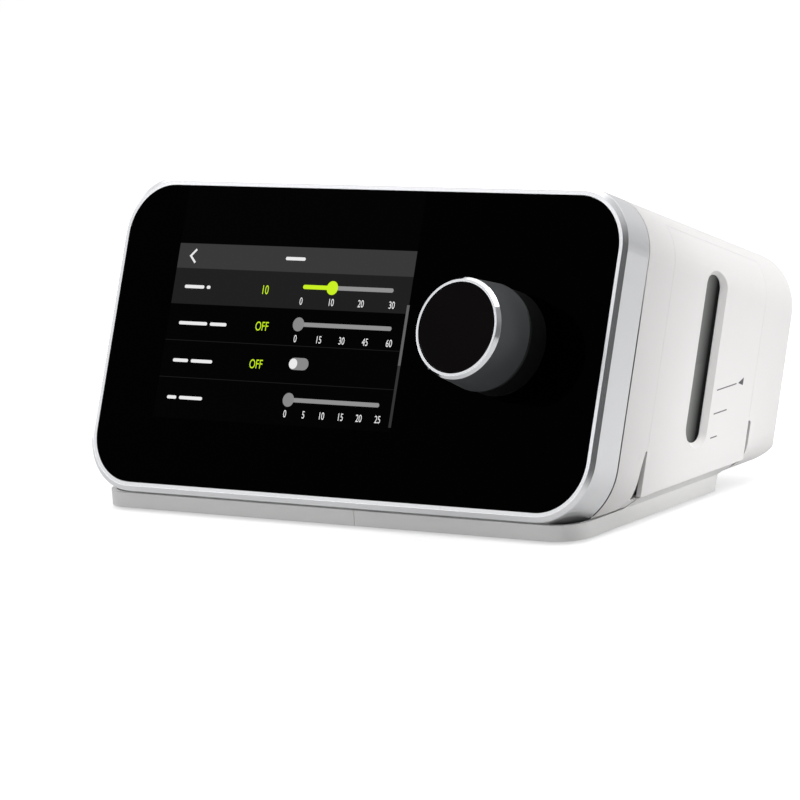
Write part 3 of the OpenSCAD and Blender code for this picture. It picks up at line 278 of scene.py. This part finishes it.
# Front glass.
# Black-backed glass over the display; a lit settings page shows through its left half.
black_glass, shader, point = blank("black_backed_glass", Specular_IOR_Level=0.006)
local = point.beyond(glass_centre)
across = local.along((1, 0, 0))
rise = local.along(up)
smear = point.noise(16.0, 4.0)
page_left, page_right = -103.8 * MM, 30.0 * MM
page_top, header_end, first_end, page_end = 41.5 * MM, 30.2 * MM, 13.9 * MM, -38.0 * MM
rule_t = 0.3 * MM
header_glow, row_glow, rule_glow, page_glow = 0.040, 0.0134, 0.010, 0.0006
page_edge = 0.2 * MM
inside = across.between(page_left, page_right, page_edge)
header = inside * rise.between(header_end, page_top, page_edge)
first_row = inside * rise.between(first_end, header_end, page_edge)
rules = [rise.between(v - rule_t / 2, v + rule_t / 2, 0.1 * MM) for v in (-2.65 * MM, -19.5 * MM)]
rules = inside * (rules[0] + rules[1])
page = inside * rise.above(page_end, 0.3 * MM)
glow = header * header_glow + first_row * row_glow + rules * rule_glow + page * page_glow
feed(shader, "Base Color", smear.shade((0.0001, 0.0001, 0.0001), (0.0003, 0.0003, 0.0003)))
feed(shader, "Roughness", smear * 0.03 + 0.035)
feed(shader, "Emission Color", glow.shade((0, 0, 0), (1.0, 1.0, 1.0)))
shader.inputs["Emission Strength"].default_value = 1.0
feed(shader, "Normal", soft_edge(point, 0.5 * MM))
dress(black_glass, "front_glass")

# Lit marks of the settings page.
# They are the display's light at the glass: sliders, switch, numbers and plain bars for words.
# Heights over the glass in millimetres; a mark that lies over others is one or two layers higher.
LIFT = 0.02
LIT_T = 0.03
SECOND = LIFT + 2 * LIT_T
THIRD = LIFT + 3 * LIT_T


def lit(name, colour):
    """A light of one colour behind fine screen dots."""
    material, shader, point = blank(name, Specular_IOR_Level=0.2, Emission_Strength=1.0)
    cells = point.cells(5200.0)
    glow = cells.shade(tuple(c * 0.97 for c in colour), colour)
    feed(shader, "Base Color", cells.shade((0.001, 0.001, 0.001), (0.003, 0.003, 0.003)))
    feed(shader, "Roughness", cells * 0.02 + 0.05)
    feed(shader, "Emission Color", glow)
    return material


def piece(name, shape, material, body):
    """Makes a mesh piece from a bmesh and sets it on its body."""
    mesh = bpy.data.meshes.new(name)
    bmesh.ops.recalc_face_normals(shape, faces=shape.faces)
    shape.to_mesh(mesh)
    shape.free()
    mesh.materials.append(material)
    made = bpy.data.objects.new(name, mesh)
    bpy.context.scene.collection.objects.link(made)
    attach(made, body)
    return made


def slab(shape, outline, low=LIFT, high=LIFT + LIT_T):
    """Adds a flat slab on the glass from an outline of (across, up) points in millimetres."""
    floor = [shape.verts.new(on_face(x, v, low)) for x, v in outline]
    top = [shape.verts.new(on_face(x, v, high)) for x, v in outline]
    shape.faces.new(floor[::-1])
    shape.faces.new(top)
    for a in range(len(outline)):
        b = (a + 1) % len(outline)
        shape.faces.new((floor[a], floor[b], top[b], top[a]))


def bar(x0, x1, v, height, steps=8):
    """Outline of a bar with round ends."""
    r = height / 2
    turn = [math.pi * k / steps - math.pi / 2 for k in range(steps + 1)]
    right = [(x1 - r + r * math.cos(a), v + r * math.sin(a)) for a in turn]
    left = [(x0 + r - r * math.cos(a), v - r * math.sin(a)) for a in turn]
    return right + left


def disc(x, v, r, steps=28):
    return [(x + r * math.cos(2 * math.pi * k / steps), v + r * math.sin(2 * math.pi * k / steps))
            for k in range(steps)]


def figures(shape, words, x, v, height, squeeze=0.74):
    """Adds a number, centred at a point of the page, as flat slabs."""
    curve = bpy.data.curves.new("figures", "FONT")
    curve.body = words
    curve.size = 1.0
    curve.align_x = "CENTER"
    holder = bpy.data.objects.new("figures", curve)
    bpy.context.scene.collection.objects.link(holder)
    bpy.context.view_layer.update()
    mesh = bpy.data.meshes.new_from_object(holder)
    bpy.data.objects.remove(holder)
    bpy.data.curves.remove(curve)
    cap = max(p.co.y for p in mesh.vertices)
    size = height / cap
    flat = bmesh.new()
    flat.from_mesh(mesh)
    bpy.data.meshes.remove(mesh)
    bmesh.ops.remove_doubles(flat, verts=flat.verts, dist=0.0001)
    made = bmesh.ops.extrude_face_region(flat, geom=flat.faces[:])
    raised = set(g for g in made["geom"] if isinstance(g, bmesh.types.BMVert))
    for vert in flat.verts:
        n = LIFT + LIT_T if vert in raised else LIFT
        vert.co = on_face(x + vert.co.x * size * squeeze, v - height / 2 + vert.co.y * size, n)
    bmesh.ops.recalc_face_normals(flat, faces=flat.faces)
    scratch = bpy.data.meshes.new("figures")
    flat.to_mesh(scratch)
    flat.free()
    shape.from_mesh(scratch)
    bpy.data.meshes.remove(scratch)


lime = (0.58, 0.87, 0.0)
track_grey = (0.27, 0.27, 0.27)
thumb_grey = (0.235, 0.235, 0.235)
figure_white = (0.82, 0.82, 0.82)
scroll_light = (0.105, 0.105, 0.105)
scroll_dark = (0.017, 0.017, 0.017)
track_t = 1.9
thumb_r = 3.1
switch_t, switch_dot_r = 5.4, 2.3
figure_h, value_h = 3.2, 4.0
bar_t = 1.5
first_v, second_v, third_v, last_v = 23.8, 7.0, -10.6, -26.7

tracks = bmesh.new()
slab(tracks, bar(-12.0, 20.4, first_v, track_t))
slab(tracks, bar(-27.0, 22.5, second_v, track_t))
slab(tracks, bar(-26.0, 22.3, last_v, track_t))
piece("slider_tracks", tracks, lit("lit_track_grey", track_grey), "body")

thumbs = bmesh.new()
slab(thumbs, disc(-29.1, second_v, thumb_r), high=SECOND)
slab(thumbs, disc(-28.1, last_v, thumb_r), high=SECOND)
slab(thumbs, bar(-31.0, -20.0, third_v, switch_t))
piece("slider_thumbs", thumbs, lit("lit_thumb_grey", thumb_grey), "body")

lime_marks = bmesh.new()
slab(lime_marks, bar(-29.8, -12.0, first_v, track_t), high=SECOND)
slab(lime_marks, disc(-13.4, first_v, thumb_r), high=THIRD)
figures(lime_marks, "10", -51.0, 21.8, value_h)
figures(lime_marks, "OFF", -49.5, 5.4, value_h)
figures(lime_marks, "OFF", -49.5, -11.6, value_h)
piece("active_marks", lime_marks, lit("lit_lime", lime), "body")

white_marks = bmesh.new()
for numbers, v, places in (
    ((0, 10, 20, 30), 17.4, (-29.7, -13.0, 3.6, 20.6)),
    ((0, 15, 30, 45, 60), 0.6, (-29.7, -16.6, -3.8, 9.2, 22.3)),
    ((0, 5, 10, 15, 20, 25), -32.9, (-28.9, -18.5, -8.5, 2.0, 12.2, 22.5)),
):
    for number, x in zip(numbers, places):
        figures(white_marks, str(number), x, v, figure_h)
slab(white_marks, disc(-28.6, third_v, switch_dot_r), high=SECOND)
# Chevron of the back arrow
chevron = [(-94.0, 39.2), (-97.4, 35.8), (-94.0, 32.4), (-93.3, 33.1), (-96.0, 35.8), (-93.3, 38.5)]
slab(white_marks, chevron)
# Plain bars before each row, and one in the header
for x0, x1, v in (
    (-42.0, -30.8, 36.2),
    (-97.4, -86.0, 21.8), (-84.6, -82.4, 21.8),
    (-97.4, -81.0, 5.2), (-79.4, -69.8, 5.2),
    (-97.4, -88.6, -11.8), (-87.0, -74.6, -11.8),
    (-97.4, -92.0, -28.6), (-90.4, -77.0, -28.6),
):
    slab(white_marks, bar(x0, x1, v, bar_t))
piece("page_marks", white_marks, lit("lit_white", figure_white), "body")

scroll_left, scroll_right = 29.0, 30.4
scroll_top, scroll_end, scroll_low = 17.7, -8.9, -36.1


def upright(low):
    """Outline of the scroll bar from its top down to a height."""
    return [(scroll_left, low), (scroll_right, low), (scroll_right, scroll_top), (scroll_left, scroll_top)]


scroll = bmesh.new()
slab(scroll, upright(scroll_low))
piece("scroll_track", scroll, lit("lit_scroll_dark", scroll_dark), "body")
scroll = bmesh.new()
slab(scroll, upright(scroll_end), high=SECOND)
piece("scroll_thumb", scroll, lit("lit_scroll_light", scroll_light), "body")

# Dial.
# A dark satin grip with a polished ring round a gloss black face, over a fixed black collar.
grip_grey = moulded("dial_grip_satin", (0.065, 0.069, 0.072), 0.42, grain=0.8, lighter=1.1)[0]
dress(grip_grey, "knob_grip")

chrome, shader, point = blank("polished_ring", Metallic=1.0)
turned = point.noise(260.0, 2.0)
feed(shader, "Base Color", turned.shade((0.80, 0.81, 0.83), (0.86, 0.87, 0.88)))
feed(shader, "Roughness", turned * 0.05 + 0.07)
feed(shader, "Normal", soft_edge(point, 0.25 * MM))
dress(chrome, "knob_ring")

dial_black, shader, point = blank("dial_face_black", Specular_IOR_Level=0.03)
smear = point.noise(40.0, 3.0)
feed(shader, "Base Color", smear.shade((0.0018, 0.0012, 0.0012), (0.0040, 0.0026, 0.0026)))
feed(shader, "Roughness", smear * 0.06 + 0.1)
feed(shader, "Normal", soft_edge(point, 0.3 * MM))
dress(dial_black, "knob_cap")

collar_black = moulded("collar_black", (0.005, 0.0052, 0.0052), 0.45, grain=0.8,
                       lighter=1.15, Specular_IOR_Level=0.25)[0]
dress(collar_black, "knob_collar", "power_inlet")

# Tank.
# A clear tub with a tinted lid, a soft seal between them and a metal plate in the floor.
# The dark window in the cover's slot stands for the lid above the tub's rim and the tub below it; its colour
# is painted light, lighter toward the front of the slot and a little lighter below the rim.
rim_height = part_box("tank_tub")[1].z
window, shader, point = blank("smoke_window", Specular_IOR_Level=0.03)
height = point.along((0, 0, 1))
depth = behind_glass(point)
below_rim = 1 - height.above(rim_height, 0.4 * MM)
# Painted light: lighter toward the front of the slot, and a little lighter below the tub's rim.
light_depth, light_fade = 70.5 * MM, 8.4 * MM
toward_front = 1 - depth.above(light_depth, light_fade)
lit_side = toward_front * (below_rim * 0.1 + 0.9)
smoke_and_painted_light = lit_side.shade((0.003, 0.0035, 0.003), (0.235, 0.24, 0.23))
feed(shader, "Base Color", smoke_and_painted_light)
feed(shader, "Roughness", point.noise(60.0) * 0.05 + 0.16)
dress(window, "tank_window")

tub_clear = moulded("tank_tub_clear", (0.30, 0.34, 0.33), 0.12, grain=0.2, Transmission_Weight=0.55)[0]
dress(tub_clear, "tank_tub")
lid_smoke = moulded("tank_lid_smoke", (0.13, 0.15, 0.147), 0.14, grain=0.2, Transmission_Weight=0.45)[0]
dress(lid_smoke, "tank_lid")
seal_grey = moulded("seal_silicone", (0.42, 0.16, 0.08), 0.55, lighter=1.05)[0]
dress(seal_grey, "tank_seal", "blower_mounts")

# Base plates and feet.
# Two off-white mouldings screwed up into the housing, on four rubber feet.
base_white = moulded("base_satin_white", (0.79, 0.785, 0.775), 0.42, grain=0.8)[0]
dress(base_white, "main_base", "humidifier_base")
rubber = moulded("foot_rubber", (0.022, 0.022, 0.023), 0.72, grain=1.6, lighter=1.15)[0]
dress(rubber, "rubber_feet", "inlet_duct", "blower_duct", "outlet_duct")

# Rear panel, filter and hose port.
# Light grey mouldings; the filter cover is a slotted grille over white felt.
rear_grey = moulded("rear_grey_moulding", (0.56, 0.56, 0.555), 0.42, grain=0.9)[0]
dress(rear_grey, "rear_panel", "filter_cover", "hose_port", "bay_liner", "blower_case", "blower_lid")
felt, shader, point = blank("filter_felt", Sheen_Weight=0.3, Sheen_Roughness=0.6)
drawn = point.make("ShaderNodeVectorMath", {"operation": "MULTIPLY"}, {0: point, 1: (1.0, 0.35, 1.0)})
fibre = drawn.noise(1500.0, 4.0, 0.7)
feed(shader, "Base Color", fibre.shade((0.62, 0.62, 0.60), (0.84, 0.84, 0.82)))
feed(shader, "Roughness", fibre * 0.1 + 0.85)
feed(shader, "Normal", fibre.bump(0.6, 0.2 * MM))
dress(felt, "air_filter")
foam, shader, point = blank("muffler_foam")
pore = point.cells(900.0)
feed(shader, "Base Color", pore.shade((0.05, 0.052, 0.054), (0.16, 0.165, 0.17)))
feed(shader, "Roughness", pore * 0.1 + 0.85)
feed(shader, "Normal", pore.bump(0.8, 0.5 * MM))
dress(foam, "muffler_foam")

# Fasteners, shafts and springs.
# Turned and plated steel, with the faint rings that the tool leaves.
steel, shader, point = blank("plated_steel", Metallic=1.0)
ring = point.noise(900.0, 2.0)
feed(shader, "Base Color", ring.shade((0.50, 0.505, 0.51), (0.62, 0.625, 0.63)))
feed(shader, "Roughness", ring * 0.12 + 0.24)
feed(shader, "Normal", ring.bump(0.08, 0.02 * MM))
dress(steel, "bracket_screws", "board_screws", "rear_screws", "base_screws", "lid_screws", "encoder_shaft",
      "switch_dome", "card_socket", "motor_shaft", "motor_magnet", "motor_bearings", "heater_springs",
      "tank_plate")

# Inner parts.
# Die-cast metal, windings, circuit boards and plain dark mouldings behind the shells.
cast, shader, point = blank("cast_aluminium", Metallic=1.0)
grain = point.noise(700.0, 4.0)
feed(shader, "Base Color", grain.shade((0.52, 0.53, 0.54), (0.63, 0.64, 0.65)))
feed(shader, "Roughness", grain * 0.15 + 0.32)
feed(shader, "Normal", grain.bump(0.12, 0.03 * MM))
dress(cast, "heater_plate", "motor_can")

brass, shader, point = blank("turned_brass", Metallic=1.0)
grain = point.noise(700.0, 2.0)
feed(shader, "Base Color", grain.shade((0.50, 0.38, 0.16), (0.62, 0.49, 0.24)))
feed(shader, "Roughness", grain * 0.1 + 0.25)
dress(brass, "encoder_nut")

copper, shader, point = blank("enamelled_windings", Metallic=0.7, Coat_Weight=0.4)
turns = point.make("ShaderNodeTexWave", {"wave_type": "BANDS", "bands_direction": "Z"},
                   {"Vector": point, "Scale": 420.0, "Distortion": 0.4}, "Fac")
feed(shader, "Base Color", turns.shade((0.22, 0.08, 0.03), (0.55, 0.25, 0.10)))
feed(shader, "Roughness", turns * 0.1 + 0.3)
feed(shader, "Normal", turns.bump(0.5, 0.1 * MM))
dress(copper, "motor_stator")

board_green, shader, point = blank("circuit_board", Coat_Weight=0.3)
weave = point.make("ShaderNodeTexChecker", {}, {"Vector": point, "Scale": 420.0}, "Fac")
paths = point.noise(180.0, 1.0)
lacquer_dark, lacquer_light = (0.010, 0.075, 0.035), (0.03, 0.16, 0.075)
feed(shader, "Base Color", (paths.above(0.55, 0.02) * 0.7 + weave * 0.1).shade(lacquer_dark, lacquer_light))
feed(shader, "Roughness", weave * 0.05 + 0.35)
dress(board_green, "main_board", "pressure_board")

dark_part = moulded("dark_moulding", (0.020, 0.0205, 0.021), 0.45, grain=0.9, lighter=1.15)[0]
dress(dark_part, "board_components", "speaker", "encoder_body", "memory_card", "lcd_panel", "display_bracket",
      "scroll_lower", "scroll_upper")
amber = moulded("flex_cable_film", (0.36, 0.16, 0.035), 0.3, lighter=1.1)[0]
dress(amber, "display_cable", "heater_element")
plain_cream = moulded("unpigmented_moulding", (0.60, 0.57, 0.49), 0.45)[0]
dress(plain_cream, "encoder_rotor", "impeller")

# Stage: pale floor, soft lamps and the camera at the photograph's angle.
# The world and the floor look whiter to the camera than the light that they give the part.
# Mirrored paths meet a bright low band at the left and a dark corner that the right bevel shows.
scene = bpy.context.scene
scene.view_settings.view_transform = "Standard"


def rays(wire, kind):
    """1 for one kind of ray and 0 for the others."""
    return wire.make("ShaderNodeLightPath", output=kind)


world = bpy.data.worlds.new("studio")
scene.world = world
world.use_nodes = True
start = Wire(world.node_tree, None)
seen = rays(start, "Is Camera Ray").math("MAXIMUM", rays(start, "Is Transmission Ray"))
mirrored = rays(start, "Is Glossy Ray")
direction = start.make("ShaderNodeTexCoord", output="Generated")
front_left, right_side, bevel_corner = (-0.80, -0.60, 0.0), (0.95, -0.10, 0.30), (0.70, -0.61, 0.36)
side_edge, left_fade, right_fade = 0.45, 0.7, 0.8
band_height, corner_edge, tight_fade = 0.26, 0.86, 0.16
plain_sky, band_sky, left_sky = 0.72, 1.9, 0.14
right_loss, corner_loss = 0.42, 0.9
leftward = direction.along(front_left).above(side_edge, left_fade) * mirrored
rightward = direction.along(right_side).above(side_edge, right_fade)
low_band = 1 - direction.along((0, 0, 1)).size().above(band_height, tight_fade)
dark_corner = direction.along(bevel_corner).above(corner_edge, tight_fade) * mirrored
strength = leftward * (low_band * band_sky + left_sky) - rightward * right_loss + plain_sky
strength = strength * (1 - dark_corner * corner_loss)
open_mix = {"data_type": "RGBA", "clamp_factor": False}
sky = strength.make("ShaderNodeMix", open_mix, {0: strength, 6: (0, 0, 0), 7: (1.0, 1.0, 1.015)}, 2)
feed(world.node_tree.nodes["Background"], "Color", seen.shade(sky, (1.0, 1.0, 1.0)))

floor_shape = bmesh.new()
bmesh.ops.create_grid(floor_shape, x_segments=1, y_segments=1, size=6.0)
floor_mesh = bpy.data.meshes.new("floor")
floor_shape.to_mesh(floor_mesh)
floor_shape.free()
floor = bpy.data.objects.new("floor", floor_mesh)
scene.collection.objects.link(floor)
floor_white, shader, point = blank("floor_white", Roughness=0.7, Specular_IOR_Level=0.1)
feed(shader, "Base Color", point.noise(3.0).shade((0.62, 0.62, 0.62), (0.64, 0.64, 0.64)))
camera_glow, mirror_glow = 0.60, 0.10
shown = rays(point, "Is Camera Ray") * camera_glow + rays(point, "Is Glossy Ray") * mirror_glow
feed(shader, "Emission Color", shown.shade((0, 0, 0), (1.0, 1.0, 1.0)))
shader.inputs["Emission Strength"].default_value = 1.0
floor_mesh.materials.append(floor_white)


def lamp(name, place, width, height, power, aim=(0, 0, 0.07), spread=180, in_mirrors=True):
    """A soft lamp, aimed at a point; a spread under 180 degrees narrows its beam."""
    light = bpy.data.lights.new(name, "AREA")
    light.spread = math.radians(spread)
    light.shape = "RECTANGLE"
    light.size = width
    light.size_y = height
    light.energy = power
    made = bpy.data.objects.new(name, light)
    made.location = place
    made.rotation_euler = (Vector(aim) - Vector(place)).to_track_quat("-Z", "Y").to_euler()
    made.visible_glossy = in_mirrors
    scene.collection.objects.link(made)


half_width = cad_box[1][0]
lamp("overhead", (-0.7, 0.35, 1.5), 2.2, 1.6, 8.0)
lamp("top_right", (0.5, 0.25, 1.3), 1.0, 0.8, 7.2)
lamp("right_rear", (0.60, 0.30, 0.14), 0.08, 0.08, 0.055, (half_width, 0.022, 0.05), 36, in_mirrors=False)
lamp("low_right", (0.55, -0.05, 0.03), 0.05, 0.05, 0.0035, (half_width, 0.0, 0.005), 20, in_mirrors=False)

azimuth = math.radians(38.23)
elevation = math.radians(10.45)
roll = math.radians(-4.68)
from_glass = Vector((1.2431, -1.5450, 0.3386))
camera_data = bpy.data.cameras.new("camera")
camera_data.sensor_width = 36.0
camera_data.lens = 208.3
camera = bpy.data.objects.new("camera", camera_data)
camera.location = glass_centre + from_glass
turn = Matrix.Rotation(azimuth, 4, "Z") @ Matrix.Rotation(math.pi / 2 - elevation, 4, "X")
camera.rotation_euler = (turn @ Matrix.Rotation(roll, 4, "Z")).to_euler()
scene.collection.objects.link(camera)
scene.camera = camera
